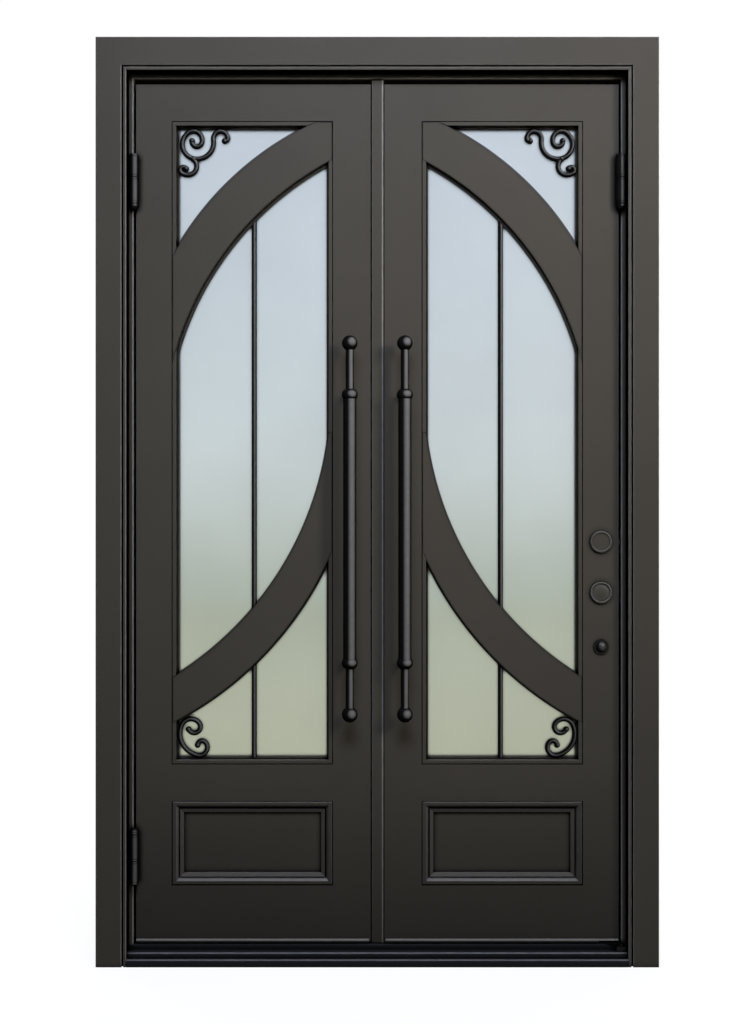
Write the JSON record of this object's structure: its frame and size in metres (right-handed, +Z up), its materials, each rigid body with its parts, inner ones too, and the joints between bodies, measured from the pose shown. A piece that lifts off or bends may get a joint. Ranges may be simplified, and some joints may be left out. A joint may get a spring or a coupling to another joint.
{
  "type": "french doors",
  "caption": "French doors in a bead-edged steel frame: frosted glass leaves with curved bands and corner scrolls that swing outwards, tall turned pulls, thumb-turn locks.",
  "frame": {"origin": "middle of the underside of the threshold", "axes": "+X to the right seen from outside, +Y from outside to inside, +Z up"},
  "size_m": [1.478, 0.202, 2.44],
  "materials": {
    "frame_steel": "satin",
    "leaf_steel": "satin",
    "sill_steel": "satin",
    "ironwork": "semi-gloss",
    "bare_steel": "turned",
    "seal_rubber": "matt",
    "glass": "frosted"
  },
  "bodies": {
    "frame": {"left_jamb": "frame_steel", "right_jamb": "frame_steel", "head": "frame_steel", "threshold": "sill_steel", "frame_seal": "seal_rubber", "frame_knuckles": "ironwork", "hinge_pins": "ironwork", "pivot_block": "ironwork", "strike_plates": "bare_steel"},
    "left_leaf": {"left_hinge_stile": "leaf_steel", "left_meeting_stile": "leaf_steel", "left_top_rail": "leaf_steel", "left_lock_rail": "leaf_steel", "left_bottom_rail": "leaf_steel", "left_upper_band": "leaf_steel", "left_lower_band": "leaf_steel", "left_glazing_bead": "leaf_steel", "left_glazing_bar": "ironwork", "left_glass": "glass", "left_inside_stop": "leaf_steel", "left_upper_scroll": "ironwork", "left_lower_scroll": "ironwork", "left_panel": "leaf_steel", "left_panel_mouldings": "leaf_steel", "left_sweep": "ironwork", "left_pull": "ironwork", "left_inside_pull": "ironwork", "left_pull_bolts": "bare_steel", "left_leaf_knuckles": "ironwork", "astragal": "leaf_steel"},
    "right_leaf": {"right_hinge_stile": "leaf_steel", "right_meeting_stile": "leaf_steel", "right_top_rail": "leaf_steel", "right_lock_rail": "leaf_steel", "right_bottom_rail": "leaf_steel", "right_upper_band": "leaf_steel", "right_lower_band": "leaf_steel", "right_glazing_bead": "leaf_steel", "right_glazing_bar": "ironwork", "right_glass": "glass", "right_inside_stop": "leaf_steel", "right_upper_scroll": "ironwork", "right_lower_scroll": "ironwork", "right_panel": "leaf_steel", "right_panel_mouldings": "leaf_steel", "right_sweep": "ironwork", "right_pull": "ironwork", "right_inside_pull": "ironwork", "right_pull_bolts": "bare_steel", "right_leaf_knuckle": "ironwork", "pivot_arm": "ironwork", "upper_lock_rose": "ironwork", "lower_lock_rose": "ironwork", "inside_lock_roses": "ironwork", "bell_housing": "ironwork"},
    "upper_turn": {"upper_thumb_turn": "ironwork"},
    "lower_turn": {"lower_thumb_turn": "ironwork"},
    "upper_bolt": {"upper_lock_bolt": "bare_steel"},
    "lower_bolt": {"lower_lock_bolt": "bare_steel"},
    "bell": {"bell_button": "ironwork"}
  },
  "joints": [
    {"name": "left_leaf_swing", "type": "hinge", "parent": "frame", "child": "left_leaf", "pos_m": [-0.6433, -0.0385, 1.2], "axis": [0, 0, -1], "range_deg": [0, 110]},
    {"name": "right_leaf_swing", "type": "hinge", "parent": "frame", "child": "right_leaf", "pos_m": [0.6433, -0.0385, 1.2], "axis": [0, 0, 1], "range_deg": [0, 110]},
    {"name": "upper_thumb_turn", "type": "hinge", "parent": "right_leaf", "child": "upper_turn", "pos_m": [0.593, 0.039, 1.114], "axis": [0, 1, 0], "range_deg": [0, 90]},
    {"name": "lower_thumb_turn", "type": "hinge", "parent": "right_leaf", "child": "lower_turn", "pos_m": [0.593, 0.039, 0.9795], "axis": [0, 1, 0], "range_deg": [0, 90]},
    {"name": "upper_bolt_slide", "type": "slide", "parent": "right_leaf", "child": "upper_bolt", "axis": [1, 0, 0], "range_m": [0, 0.02]},
    {"name": "lower_bolt_slide", "type": "slide", "parent": "right_leaf", "child": "lower_bolt", "axis": [1, 0, 0], "range_m": [0, 0.02]},
    {"name": "bell_press", "type": "slide", "parent": "right_leaf", "child": "bell", "axis": [0, 1, 0], "range_m": [0, 0.0025], "stiffness_N_per_m": 500, "springref_m": -0.002}
  ],
  "couplings": [
    {"joint": "upper_bolt_slide", "follows": "upper_thumb_turn", "m_per_rad": 0.01273},
    {"joint": "lower_bolt_slide", "follows": "lower_thumb_turn", "m_per_rad": 0.01273}
  ]
}
